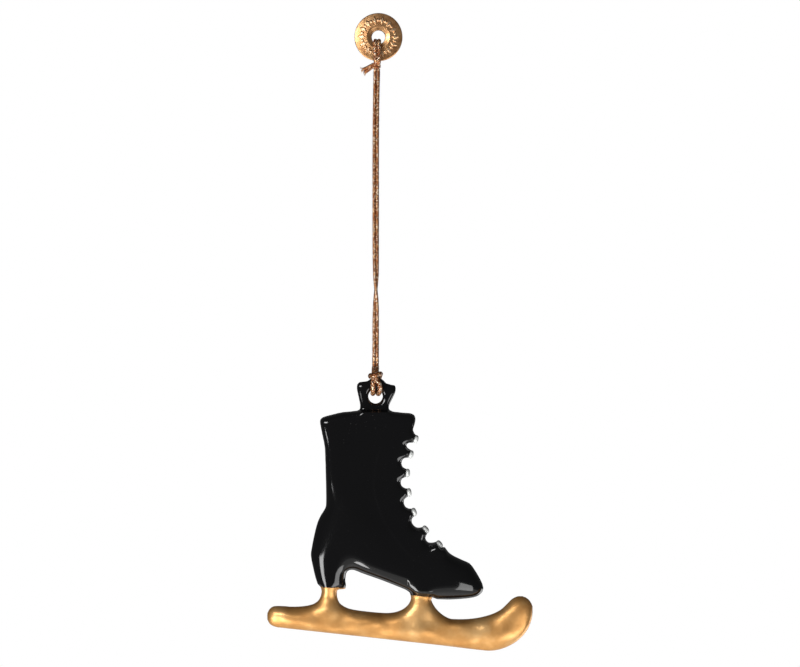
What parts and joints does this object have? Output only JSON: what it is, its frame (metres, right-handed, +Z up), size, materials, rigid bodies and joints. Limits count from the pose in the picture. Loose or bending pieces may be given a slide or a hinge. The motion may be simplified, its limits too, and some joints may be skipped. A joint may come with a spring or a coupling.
{
  "type": "hanging skate ornament",
  "caption": "Flat cast-metal ornament shaped as a lace-up skate boot on a curled runner, hung by a doubled metallic cord from a small round tag.",
  "frame": {"origin": "centre of the tag's hanging hole", "axes": "+Z up along the cord, +X towards the toe of the boot, -Y out of the front face"},
  "size_m": [0.0663, 0.0094, 0.1593],
  "materials": {
    "black_enamel": "gloss",
    "gold_paint": "satin metallic",
    "white_enamel": "satin",
    "tag_brass": "stamped and lightly polished",
    "metallic_cord": "metallic braid"
  },
  "bodies": {
    "tag": {"tag_disc": "tag_brass"},
    "cord_top": {"cord_tag_loop": "metallic_cord", "cord_knot": "metallic_cord", "cord_tail_upper": "metallic_cord", "cord_tail_lower": "metallic_cord"},
    "cord_pair": {"cord_strand_left": "metallic_cord", "cord_strand_right": "metallic_cord"},
    "hitch": {"cord_hitch": "metallic_cord"},
    "skate": {"boot_casting": "black_enamel", "blade_casting": "gold_paint", "lace_end_1": "white_enamel", "lace_end_2": "white_enamel", "lace_end_3": "white_enamel", "lace_end_4": "white_enamel", "lace_end_5": "white_enamel", "lace_end_6": "white_enamel", "lace_end_7": "white_enamel"}
  },
  "joints": [
    {"name": "cord_swing", "type": "hinge", "parent": "tag", "child": "cord_top", "pos_m": [0, 0, 0], "axis": [0, 1, 0], "range_deg": [-90, 90]},
    {"name": "cord_twist", "type": "hinge", "parent": "cord_top", "child": "cord_pair", "pos_m": [-0.00042, 0, -0.0083], "axis": [0, 0, 1], "range_deg": [-180, 180]},
    {"name": "skate_swing", "type": "hinge", "parent": "cord_pair", "child": "hitch", "pos_m": [-0.00075, 0, -0.08384], "axis": [0, 1, 0], "range_deg": [-60, 60]},
    {"name": "skate_tilt", "type": "hinge", "parent": "hitch", "child": "skate", "pos_m": [-0.00075, 0, -0.08685], "axis": [1, 0, 0], "range_deg": [-90, 90]}
  ]
}
